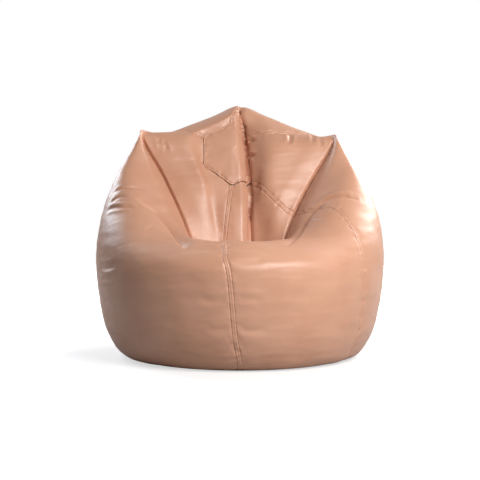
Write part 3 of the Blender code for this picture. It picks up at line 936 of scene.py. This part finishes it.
@dataclass
class Cover:
    """The sewn leatherette cover: five gores, a cap and a base."""

    loft: Loft
    material: bpy.types.Material
    wall: float = 0.0012
    join_gap: float = 0.0002
    cap_join: float = 0.0012
    band: float = 0.006
    slit: float = 0.0085
    slit_low: float = 0.146
    slit_high: float = 0.404
    edge_steps: tuple[float, ...] = (
        0.0, 0.0007, 0.0015, 0.0025, 0.0038, 0.0050, 0.0056, 0.0061, 0.0067, 0.0076, 0.0092, 0.0118, 0.0155, 0.0205,
    )
    row_spacing: float = 0.0042
    column_spacing: float = 0.0050

    def row_heights(self) -> np.ndarray:
        """Chooses the rows of v: even along the bag, closer at the seams at both ends and beside the creases.

        Returns:
            The values of v, from the base seam to the cap's edge.
        """
        v = np.linspace(0, CAP_EDGE, 441)
        turns = np.linspace(0, COLUMNS, 36, endpoint=False)
        points = self.loft.at(turns[None, :], v[:, None])
        length = np.concatenate([[0], np.cumsum(np.linalg.norm(np.diff(points, axis=0), axis=-1).mean(1))])
        count = int(length[-1] / self.row_spacing)
        even = np.interp(np.linspace(0, length[-1], count), length, v)
        last = self.edge_steps[-1]
        reached = np.interp(even, v, length)
        even = even[(reached > last + 0.002) & (reached < length[-1] - last - 0.002)]
        steps = np.array(self.edge_steps)
        low = np.interp(steps + self.join_gap / 2, length, v)
        high = np.minimum(np.interp(length[-1] - steps, length, v), CAP_EDGE - self.cap_join)
        close = np.array([0.0, 0.012, 0.026, 0.045, 0.07, 0.10])
        beside = np.concatenate([VALLEY_ROW - close, VALLEY_ROW + close[1:]])
        even = even[np.abs(even - VALLEY_ROW) > 0.115]
        return np.unique(np.round(np.concatenate([low, even, beside, high]), 6))

    def metric(self, u: np.ndarray, v: np.ndarray) -> np.ndarray:
        """Measures how many metres one unit of u spans."""
        return np.linalg.norm(self.loft.at(u + 0.1, v) - self.loft.at(u - 0.1, v), axis=-1) / 0.2

    def opening(self, height: np.ndarray) -> np.ndarray:
        """How far the zip holds a seam's edge open at each height above the floor."""
        rise = smooth_step(self.slit_low - 0.004, self.slit_low + 0.003, height)
        return self.slit * rise * (1 - smooth_step(self.slit_high - 0.003, self.slit_high + 0.004, height))

    def gore_grid(self, first: Seam, last: Seam, turn: float) -> tuple[np.ndarray, np.ndarray, np.ndarray]:
        """Lays out the places of one gore.

        Args:
            first: The seam at its start.
            last: The seam at its end.
            turn: Added to the last seam's u where it lies past a whole turn.

        Returns:
            u, v and the distance from the nearer seam's stitched edge, each an array of row and column.
        """
        v = self.row_heights()
        start, end = first.u_at(v), last.u_at(v) + turn
        per_start, per_end = self.metric(start, v), self.metric(end, v)
        steps = np.array(self.edge_steps)
        start_gap = np.full(len(v), self.join_gap / 2)
        end_gap = start_gap.copy()
        if first.zipped:
            start_gap = start_gap + self.opening(self.loft.at(start, v)[:, 2]) * (v < 6)
        if last.zipped:
            end_gap = end_gap + self.opening(self.loft.at(end, v)[:, 2]) * (v < 6)
        left = start[:, None] + (start_gap[:, None] + steps) / per_start[:, None]
        right = end[:, None] - (end_gap[:, None] + steps[::-1]) / per_end[:, None]
        widest = float(np.max((right[:, 0] - left[:, -1]) * (per_start + per_end) / 2))
        count = int(widest / self.column_spacing)
        share = np.linspace(0, 1, count + 2)[1:-1]
        middle = left[:, -1:] + (right[:, :1] - left[:, -1:]) * share
        u = np.hstack([left, middle, right])
        grid_v = np.broadcast_to(v[:, None], u.shape)
        gap = np.minimum((u - left[:, :1]) * per_start[:, None], (right[:, -1:] - u) * per_end[:, None])
        return u, grid_v, gap

    def seam_profile(self, gap: np.ndarray, stitched: bool = True) -> np.ndarray:
        """The height of the cover beside a seam, by distance from it.

        Args:
            gap: Distances from the seam.
            stitched: Whether a row of stitches runs beside it.

        Returns:
            Heights, one for each distance.
        """
        valley = -0.0024 * np.exp(-gap / 0.018)
        if not stitched:
            return valley - 0.0018 * np.exp(-((gap / 0.0012) ** 2))
        folded_allowance = 0.0010 * (1 - smooth_step(self.band - 0.0006, self.band + 0.0012, gap))
        line = -0.0018 * np.exp(-(((gap - self.band) / 0.0012) ** 2))
        return valley + folded_allowance + line

    def puckers(self, points: np.ndarray, gap: np.ndarray) -> np.ndarray:
        """The small gathers that sewing leaves beside a seam."""
        reach = np.exp(-(((gap - 0.007) / 0.012) ** 2))
        return 0.0010 * reach * wave_noise(points, 0.017, seed=3)

    def dress(self, u: np.ndarray, v: np.ndarray, seam_gap: np.ndarray) -> np.ndarray:
        """Turns places on the bag into points of the finished cover.

        Args:
            u: Places round the bag.
            v: Places up the bag.
            seam_gap: The distance from the nearer long seam.

        Returns:
            The points.
        """
        points = self.loft.at(u, v)
        normals = self.loft.normals(u, v)
        points = points + SHARP_FOLDS.press(self.loft, points, normals) + WRINKLES.press(self.loft, points, normals)
        steps = np.linalg.norm(np.diff(points, axis=0), axis=-1)
        to_cap = np.vstack([np.cumsum(steps[::-1], axis=0)[::-1], np.zeros(points.shape[1])])
        height = self.seam_profile(seam_gap) + self.seam_profile(to_cap, stitched=False)
        height = height + self.puckers(points, seam_gap)
        height = height + 0.0006 * wave_noise(points * RIPPLE_SHAPE, 0.12, seed=5)
        height = height + 0.00018 * wave_noise(points * RIPPLE_SHAPE, 0.035, seed=6)
        height = height * smooth_step(0.0, 0.25, v)
        points = points + normals * height[..., None]
        points[..., 2] = np.maximum(points[..., 2], FLOOR_GAP)
        return points

    def gore(self, name: str, node: str, first: Seam, last: Seam, turn: float = 0.0) -> np.ndarray:
        """Makes one gore, in place of its plain node.

        Args:
            name: The piece's name.
            node: The plain node that it stands for.
            first: The seam at its start.
            last: The seam at its end.
            turn: Added to the last seam's u where it lies past a whole turn.

        Returns:
            Its points, as rows and columns.
        """
        u, v, gap = self.gore_grid(first, last, turn)
        points = self.dress(u, v, gap)
        obj = add_piece(name, grid_mesh(name, points), self.material, "bag")
        add_wall(obj, self.wall)
        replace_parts(obj, node)
        return points

    def cap(self, shape: BagShape) -> np.ndarray:
        """Makes the hexagonal cap.

        Args:
            shape: The bag's sizes.

        Returns:
            Its points, as rings that close in on its middle.
        """
        steps = np.array(self.edge_steps) / (shape.cap_radius * 0.93)
        inner = np.linspace(CAP_EDGE + steps[-1] + 0.03, CAP_MIDDLE, 26)
        rows = np.concatenate([CAP_EDGE + steps + self.cap_join, inner])
        turns = np.linspace(0, COLUMNS, 325)
        u, v = np.meshgrid(turns, rows)
        points = self.loft.at(u, v)
        points[-1] = points[-1].mean(0)
        normals = self.loft.normals(u, np.minimum(v, CAP_MIDDLE - 0.08))
        folded = SHARP_FOLDS.press(self.loft, points, normals)
        gap = (v - CAP_EDGE - self.cap_join) * shape.cap_radius * 0.93
        height = self.seam_profile(gap) + self.puckers(points, gap)
        points = points + folded + normals * height[..., None]
        points[:, -1] = points[:, 0]
        points[-1] = points[-1].mean(0)
        mesh = grid_mesh("cover_cap", points, round_join=True)
        obj = add_piece("cover_cap", mesh, self.material, "bag")
        add_wall(obj, self.wall)
        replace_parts(obj, "top_cap")
        return points

    def base(self, shape: BagShape) -> None:
        """Makes the flat base that the bag stands on, with its seam turned in round the edge.

        Args:
            shape: The bag's sizes.
        """
        bm = bmesh.new()
        bmesh.ops.create_circle(bm, cap_ends=True, segments=144, radius=shape.base_radius - 0.0015)
        for thickness, depth in ((0.002, 0.0), (0.004, -0.0006), (0.006, 0.0006), (0.05, 0.0), (0.08, 0.0)):
            face = max(bm.faces, key=lambda item: item.calc_area())
            bmesh.ops.inset_region(bm, faces=[face], use_boundary=True, thickness=thickness, depth=depth)
        low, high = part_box("base_panel")
        bmesh.ops.translate(bm, verts=bm.verts, vec=(0, 0, low[2] + 0.0010))
        bmesh.ops.reverse_faces(bm, faces=bm.faces)
        mesh = bpy.data.meshes.new("cover_base")
        bm.to_mesh(mesh)
        bm.free()
        obj = add_piece("cover_base", mesh, self.material, "bag")
        add_wall(obj, high[2] - low[2])
        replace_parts(obj, "base_panel")


# Stitching


@dataclass
class Topstitching:
    """Rows of separate stitches."""

    material: bpy.types.Material
    pitch: float = 0.0042
    length: float = 0.0034
    radius: float = 0.00042

    def sew(self, name: str, node: str, line: np.ndarray, lift: float = 0.0003) -> None:
        """Sews one row of stitches along a line.

        Args:
            name: The piece's name.
            node: The plain node that it stands for.
            line: Points along the row.
            lift: How far the stitches' middles stand above the line, away from the bag's middle.
        """
        spans = np.linalg.norm(np.diff(line, axis=0), axis=1)
        along = np.concatenate([[0], np.cumsum(spans)])
        places = np.arange(self.pitch / 2, along[-1] - self.pitch / 2, self.pitch)
        middles = np.stack([np.interp(places, along, line[:, axis]) for axis in range(3)], axis=1)
        ahead = np.stack([np.interp(places + 0.001, along, line[:, axis]) for axis in range(3)], axis=1)
        centre = np.array([0.0, 0.05, 0.30])
        bm = bmesh.new()
        for middle, front in zip(middles, ahead):
            forward = Vector(front - middle).normalized()
            outward = Vector(middle - centre).normalized()
            sideways = forward.cross(outward).normalized()
            outward = sideways.cross(forward)
            turn = Matrix((sideways, outward, forward)).transposed().to_4x4()
            size = Matrix.Diagonal((self.radius, self.radius, self.length / 2, 1.0))
            spot = Matrix.Translation(Vector(middle) + outward * lift)
            bmesh.ops.create_uvsphere(bm, u_segments=6, v_segments=4, radius=1.0, matrix=spot @ turn @ size)
        mesh = bpy.data.meshes.new(name)
        bm.to_mesh(mesh)
        bm.free()
        mesh.shade_smooth()
        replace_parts(add_piece(name, mesh, self.material, "bag"), node)


# The zips


@dataclass
class Zip:
    """One coil zip, whose plain nodes carry its sizes."""

    prefix: str
    tape: bpy.types.Material
    coil: bpy.types.Material
    metal: bpy.types.Material
    tooth_pitch: float = 0.0014

    def node(self, name: str) -> str:
        """The full name of one of the zip's nodes."""
        return f"{self.prefix}_{name}"

    def make_tape(self, side: str) -> None:
        """Makes one woven tape, with a corded edge beside the coil.

        Args:
            side: Left or right of the teeth.
        """
        low, high = (Vector(corner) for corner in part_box(self.node(f"tape_{side}")))
        bm = bmesh.new()
        bmesh.ops.create_cube(bm, size=1.0)
        bmesh.ops.scale(bm, vec=high - low, verts=bm.verts)
        bmesh.ops.translate(bm, vec=(low + high) / 2, verts=bm.verts)
        long_edges = [edge for edge in bm.edges if abs((edge.verts[0].co - edge.verts[1].co).z) > 0.1]
        bmesh.ops.bevel(
            bm, geom=long_edges, offset=0.00035, segments=3, profile=0.5, affect="EDGES", material=-1
        )
        mesh = bpy.data.meshes.new(self.node(f"woven_tape_{side}"))
        bm.to_mesh(mesh)
        bm.free()
        obj = add_piece(mesh.name, mesh, self.tape, "bag")
        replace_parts(obj, self.node(f"tape_{side}"))

    def make_coil(self, side: str) -> None:
        """Makes one coil as a row of moulded turns.

        Args:
            side: Left or right of the slider's path.
        """
        low, high = (Vector(corner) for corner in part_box(self.node(f"coil_{side}")))
        middle, size = (low + high) / 2, high - low
        count = int(size.z / self.tooth_pitch)
        start = low.z + self.tooth_pitch * (0.75 if side == "left" else 0.25)
        bm = bmesh.new()
        for k in range(count - 1):
            spot = Matrix.Translation((middle.x, middle.y, start + k * self.tooth_pitch))
            stretch = Matrix.Diagonal((size.x / 2, size.y / 2, self.tooth_pitch * 0.42, 1.0))
            bmesh.ops.create_uvsphere(bm, u_segments=8, v_segments=4, radius=1.0, matrix=spot @ stretch)
        mesh = bpy.data.meshes.new(self.node(f"coil_turns_{side}"))
        bm.to_mesh(mesh)
        bm.free()
        mesh.shade_smooth()
        obj = add_piece(mesh.name, mesh, self.coil, "bag")
        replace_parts(obj, self.node(f"coil_{side}"))

    def make_metal(self, part: str, body: str, edge: float) -> None:
        """Makes one metal part from its plain node, with its edges rounded.

        Args:
            part: The part's name within the zip.
            body: The body that it moves with.
            edge: How far its edges are rounded.
        """
        bm = bmesh.new()
        bm.from_mesh(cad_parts[self.node(part)].data)
        bmesh.ops.remove_doubles(bm, verts=bm.verts, dist=1e-6)
        bmesh.ops.dissolve_limit(bm, angle_limit=math.radians(2), verts=bm.verts, edges=bm.edges)
        sharp = [item for item in bm.edges if item.is_manifold and item.calc_face_angle() > math.radians(50)]
        bmesh.ops.bevel(bm, geom=sharp, offset=edge, segments=2, profile=0.5, affect="EDGES", material=-1)
        mesh = bpy.data.meshes.new(self.node(f"cast_{part}"))
        bm.to_mesh(mesh)
        bm.free()
        mesh.shade_smooth()
        mesh.set_sharp_from_angle(angle=math.radians(45))
        obj = add_piece(mesh.name, mesh, self.metal, body)
        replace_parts(obj, self.node(part))

    def make(self) -> None:
        """Makes the whole zip."""
        for side in ("left", "right"):
            self.make_tape(side)
            self.make_coil(side)
        self.make_metal("bottom_stop", "bag", 0.0004)
        self.make_metal("top_stop", "bag", 0.0004)
        self.make_metal("slider", f"{self.prefix}_slider", 0.0002)


# The inside


@dataclass
class Inside:
    """The zipped liner and the beads that fill it."""

    loft: Loft
    columns: int = 108
    rows: int = 96
    rounds: int = 5
    crease_room: float = 0.036
    crease_reach: tuple[float, float] = (0.022, 0.070)
    filling_depth: float = 0.020
    thin_share: float = 0.40
    thin: tuple[float, float] = (0.04, 0.10)
    clearance: float = 0.004
    repairs: int = 24
    repair_step: float = 0.004
    cover: BVHTree | None = None

    def creased(self, u: np.ndarray, v: np.ndarray) -> tuple[np.ndarray, np.ndarray]:
        """Reads the bag's wall with every crease and wrinkle pressed in, and its outward directions.

        Args:
            u: Places round the bag.
            v: Places up the bag.

        Returns:
            Points on the wall, and the outward directions there.
        """
        wall, normals = self.loft.at(u, v), self.loft.normals(u, np.clip(v, 0.3, CAP_MIDDLE - 0.1))
        pressed = SHARP_FOLDS.press(self.loft, wall, normals) + WRINKLES.press(self.loft, wall, normals)
        return wall + pressed, normals

    def cover_tree(self) -> BVHTree:
        """Makes a search tree of the creased cover, once.

        Returns:
            The tree, whose faces point out.
        """
        if self.cover is None:
            u, v = np.meshgrid(np.linspace(0, COLUMNS, 432, endpoint=False), np.linspace(0, CAP_MIDDLE, 300))
            self.cover = Loft(self.creased(u, v)[0]).as_tree()
        return self.cover

    def crease_gap(self, points: np.ndarray) -> np.ndarray:
        """Measures how far each point is from the nearest deep crease of the cover.

        Args:
            points: Places on the bag.

        Returns:
            Distances, with one axis fewer than the points.
        """
        flat = points.reshape(-1, 3)
        gap = np.full(len(flat), np.inf)
        for fold in MAIN_FOLDS.folds + WRINKLES.folds:
            if fold.profile is Profile.CREASE:
                line = fold.line(self.loft, 100)
                gap = np.minimum(gap, np.min(np.linalg.norm(flat[:, None] - line[None], axis=-1), axis=1))
        return gap.reshape(points.shape[:-1])

    def thickness(self, wall: np.ndarray, normals: np.ndarray) -> np.ndarray:
        """Measures how thick the filled bag is behind each point of its wall.

        Args:
            wall: Points on the bag.
            normals: The outward directions there.

        Returns:
            Thicknesses, with one axis fewer than the points.
        """
        tree, found = self.cover_tree(), np.zeros(wall.shape[:-1])
        for spot in np.ndindex(found.shape):
            inward = -Vector(normals[spot])
            distance = tree.ray_cast(Vector(wall[spot]) + inward * 0.003, inward)[3]
            if distance is not None:
                found[spot] = distance + 0.003
        return found

    def outside(self, points: np.ndarray) -> np.ndarray:
        """Finds the points that aren't well inside the bag: above each of those, a line leaves it first.

        Args:
            points: The points to test.

        Returns:
            Whether each point is astray.
        """
        tree, found = self.cover_tree(), np.zeros(points.shape[:-1], bool)
        up = Vector((0.0, 0.0, 1.0))
        for spot in np.ndindex(found.shape):
            place = Vector(points[spot])
            out = tree.ray_cast(place, up)[1]
            near = tree.find_nearest(place)[3]
            found[spot] = out is None or out.z < 0 or (near < self.clearance and place.z > 0.05)
        return found

    def lowered(self, points: np.ndarray, normals: np.ndarray, firm: np.ndarray) -> np.ndarray:
        """Draws stray points inside: straight down where the bag is thin, and off the wall elsewhere.

        Args:
            points: The form, as rings that close in on its top.
            normals: The bag's outward directions.
            firm: 0 where the bag is thin, up to 1 where it is thick.

        Returns:
            The form, with as many as possible of its points inside the bag.
        """
        down = np.array([0.0, 0.0, -1.0])
        inward = unit(down * (1 - firm)[..., None] - normals * firm[..., None])
        for _ in range(self.repairs):
            stray = self.outside(points)
            stray[0] = stray[-1] = False
            if not stray.any():
                break
            spread = stray | np.roll(stray, 1, 1) | np.roll(stray, -1, 1)
            spread[1:-1] |= stray[:-2] | stray[2:]
            spread &= (firm < 0.5) | stray
            spread[0] = spread[-1] = False
            points = points + inward * (self.repair_step * spread)[..., None]
        for _ in range(self.repairs):
            stray = self.outside(points)
            stray[0] = stray[-1] = False
            if not stray.any():
                break
            sides = np.roll(points, 1, 1) + np.roll(points, -1, 1)
            between = points.copy()
            between[1:-1] = (points[:-2] + points[2:] + sides[1:-1]) / 4
            points = np.where(stray[..., None], between, points)
        LOG.info("points left outside the bag: %d", int(stray.sum()))
        return points

    def inset(
        self, name: str, depth: float, texture: float, material: bpy.types.Material
    ) -> bpy.types.Object:
        """Makes a closed form that lies inside the cover.

        Args:
            name: The piece's name.
            depth: How far inside the cover it lies, away from creases and thin places.
            texture: The height of its soft lumps.
            material: Its finish.

        Returns:
            The piece.
        """
        v = np.concatenate([[0.0], np.linspace(0.5, CAP_MIDDLE, self.rows)])
        u, v = np.meshgrid(np.linspace(0, COLUMNS, self.columns, endpoint=False), v)
        wall, normals = self.creased(u, v)
        room = self.crease_room * (1 - smooth_step(*self.crease_reach, self.crease_gap(wall)))
        thickness = self.thickness(wall, normals)
        firm = smooth_step(*self.thin, thickness)
        inward = np.minimum(depth + room, self.thin_share * depth / self.filling_depth * thickness)
        points = wall - normals * inward[..., None]
        for _ in range(self.rounds):
            sideways = (np.roll(points, 1, 1) + np.roll(points, -1, 1)) / 2
            points[1:-1] = 0.3 * points[1:-1] + 0.35 * sideways[1:-1] + 0.35 * (points[:-2] + points[2:]) / 2
            short = np.maximum(inward - ((wall - points) * normals).sum(-1), 0.0) * firm
            points = points - normals * short[..., None]
        points = points + normals * (firm * texture * wave_noise(points, 0.06, seed=8))[..., None]
        points = self.lowered(points, normals, firm)
        points[..., 2] = np.maximum(points[..., 2], depth)
        points[-1] = points[-1].mean(0)
        floor = np.broadcast_to(points[0].mean(0), points[:1].shape)
        points = np.vstack([floor, points])
        points = np.hstack([points, points[:, :1]])
        obj = add_piece(name, grid_mesh(name, points, round_join=True), material, "bag")
        return obj


# The studio


@dataclass
class Studio:
    """The pale floor, the soft lights and the camera."""

    image_side: int = 480
    metres_per_pixel: float = 0.003
    sensor: float = 36.0

    def camera(self) -> None:
        """Places the camera in front of the seat, a little above it."""
        data = bpy.data.cameras.new("camera")
        data.sensor_width = self.sensor
        data.lens = self.sensor * VIEW_DISTANCE / (self.image_side * self.metres_per_pixel)
        obj = bpy.data.objects.new("camera", data)
        obj.location = EYE
        obj.rotation_euler = (VIEW_TARGET - EYE).to_track_quat("-Z", "Y").to_euler()
        bpy.context.scene.collection.objects.link(obj)
        bpy.context.scene.camera = obj

    def lamp(self, name: str, place: tuple, aim: tuple, size: float, power: float, colour: tuple) -> None:
        """Adds one soft light.

        Args:
            name: The light's name.
            place: Where it stands.
            aim: The point that it shines at.
            size: Its diameter.
            power: Its power, in watts.
            colour: Its colour.
        """
        data = bpy.data.lights.new(name, "AREA")
        data.shape = "DISK"
        data.size = size
        data.energy = power
        data.color = colour
        obj = bpy.data.objects.new(name, data)
        obj.location = place
        obj.rotation_euler = (Vector(aim) - Vector(place)).to_track_quat("-Z", "Y").to_euler()
        bpy.context.scene.collection.objects.link(obj)

    def paint_floor_glow(self, nodes: Nodes) -> None:
        """Paints light onto the floor, for the camera alone: a white glow that is weaker near the bag and stronger
        further out, so that the floor fades into the pale surroundings.

        Args:
            nodes: The floor's material.
        """
        reach = nodes.add("ShaderNodeVectorMath", operation="LENGTH")
        nodes.join(nodes.place, reach.inputs[0])
        glow = nodes.add("ShaderNodeMapRange", interpolation_type="SMOOTHSTEP")
        glow.inputs["From Min"].default_value = 0.4
        glow.inputs["From Max"].default_value = 1.2
        glow.inputs["To Min"].default_value = 0.62
        glow.inputs["To Max"].default_value = 1.1
        nodes.join(reach.outputs["Value"], glow.inputs["Value"])
        seen = nodes.add("ShaderNodeMath", operation="MULTIPLY")
        nodes.join(glow.outputs["Result"], seen.inputs[0])
        nodes.join(nodes.add("ShaderNodeLightPath").outputs["Is Camera Ray"], seen.inputs[1])
        # Painted light: the floor glows white for camera rays only, less near the bag and more further out. It
        # lights nothing else.
        nodes.shader.inputs["Emission Color"].default_value = (1.0, 1.0, 1.0, 1.0)
        nodes.join(seen.outputs["Value"], nodes.shader.inputs["Emission Strength"])

    def floor(self) -> None:
        """Lays a grey round floor, which a painted camera-only glow makes look pale."""
        bm = bmesh.new()
        bmesh.ops.create_circle(bm, cap_ends=True, segments=96, radius=3.2)
        mesh = bpy.data.meshes.new("floor")
        bm.to_mesh(mesh)
        bm.free()
        mesh.shade_smooth()
        nodes = Nodes("floor")
        nodes.join(
            nodes.ramp(nodes.noise(2.0), (0.42, 0.42, 0.42), (0.45, 0.45, 0.45)), nodes.shader.inputs["Base Color"]
        )
        nodes.shader.inputs["Roughness"].default_value = 0.9
        self.paint_floor_glow(nodes)
        mesh.materials.append(nodes.material)
        obj = bpy.data.objects.new("floor", mesh)
        bpy.context.scene.collection.objects.link(obj)

    def light(self) -> None:
        """Sets the soft lights and the pale surroundings."""
        self.lamp("key", (1.15, -1.8, 1.65), (0, 0, 0.35), 1.6, 66.0, (1.0, 0.99, 0.97))
        self.lamp("left_rim", (-2.1, 2.0, 1.8), (0, 0, 0.4), 1.9, 80.0, (0.84, 0.92, 1.0))
        self.lamp("right_rim", (2.0, 2.2, 1.8), (0, 0, 0.4), 1.9, 105.0, (1.0, 0.99, 0.97))
        world = bpy.data.worlds.new("surroundings")
        world.use_nodes = True
        tree = world.node_tree
        tree.nodes["Background"].inputs["Color"].default_value = (1.0, 1.0, 1.0, 1.0)
        path = tree.nodes.new("ShaderNodeLightPath")
        strength = tree.nodes.new("ShaderNodeMapRange")
        strength.inputs["To Min"].default_value = 0.10
        strength.inputs["To Max"].default_value = 1.0
        tree.links.new(path.outputs["Is Camera Ray"], strength.inputs["Value"])
        tree.links.new(strength.outputs["Result"], tree.nodes["Background"].inputs["Strength"])
        bpy.context.scene.world = world
        bpy.context.scene.view_settings.view_transform = "Standard"

    def build(self) -> None:
        """Sets up the whole studio."""
        self.camera()
        self.floor()
        self.light()


def main() -> None:
    """Builds every piece, in order."""
    logging.basicConfig(level=logging.INFO, format="%(message)s")
    Studio().build()
    shape = BagShape()
    loft = FilledBag(shape).start_loft()
    leatherette, thread = Leatherette().make(), Thread().make()
    cover = Cover(loft, leatherette)
    gores = {
        "front_right": cover.gore("cover_front_right", "front_right_gore", FRONT_SEAM, RIGHT_SEAM),
        "right": cover.gore("cover_right", "right_gore", RIGHT_SEAM, BACK_RIGHT_SEAM),
        "back_right": cover.gore("cover_back_right", "back_right_gore", BACK_RIGHT_SEAM, BACK_SEAM),
        "back_left": cover.gore("cover_back_left", "back_left_gore", BACK_SEAM, BACK_LEFT_SEAM),
        "left": cover.gore("cover_left", "left_gore", BACK_LEFT_SEAM, FRONT_SEAM, turn=COLUMNS),
    }
    cap_points = cover.cap(shape)
    cover.base(shape)

    stitching = Topstitching(thread)
    band_column = int(np.argmin(np.abs(np.array(cover.edge_steps) - cover.band)))
    seam_sides = (
        ("front", "left", "left"), ("front", "right", "front_right"),
        ("right", "left", "front_right"), ("right", "right", "right"),
        ("back_right", "left", "right"), ("back_right", "right", "back_right"),
        ("back", "left", "back_right"), ("back", "right", "back_left"),
        ("back_left", "left", "back_left"), ("back_left", "right", "left"),
    )
    for seam, side, gore in seam_sides:
        column = -1 - band_column if side == "left" else band_column
        line = gores[gore][14:-2, column]
        stitching.sew(f"{seam}_topstitch_{side}", f"{seam}_seam_stitching_{side}", line)
    stitching.sew("cap_topstitch", "cap_seam_stitching", cap_points[band_column])

    tape = WovenCloth("zip_tape", (0.62, 0.40, 0.29), (0.40, 0.25, 0.18), 1800.0).make()
    coil = Moulded("zip_coil", (0.58, 0.37, 0.27), 0.42, 0.0).make()
    metal = Moulded("zip_metal", (0.70, 0.66, 0.60), 0.26, 1.0).make()
    cover_zip = Zip("zip", tape, coil, metal)
    cover_zip.make()
    cover_zip.make_metal("pull", "zip_pull", 0.0003)
    liner_cloth = WovenCloth("liner_cloth", (0.88, 0.88, 0.86), (0.70, 0.70, 0.68), 1400.0).make()
    Zip("liner_zip", liner_cloth, coil, metal).make()

    inside = Inside(loft)
    liner = inside.inset("liner", 0.012, 0.0012, liner_cloth)
    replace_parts(liner, "liner_bag")
    beads = inside.inset("filling", inside.filling_depth, 0.0020, Beads().make())
    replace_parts(beads, "bead_filling")


if __name__ == "__main__":
    main()
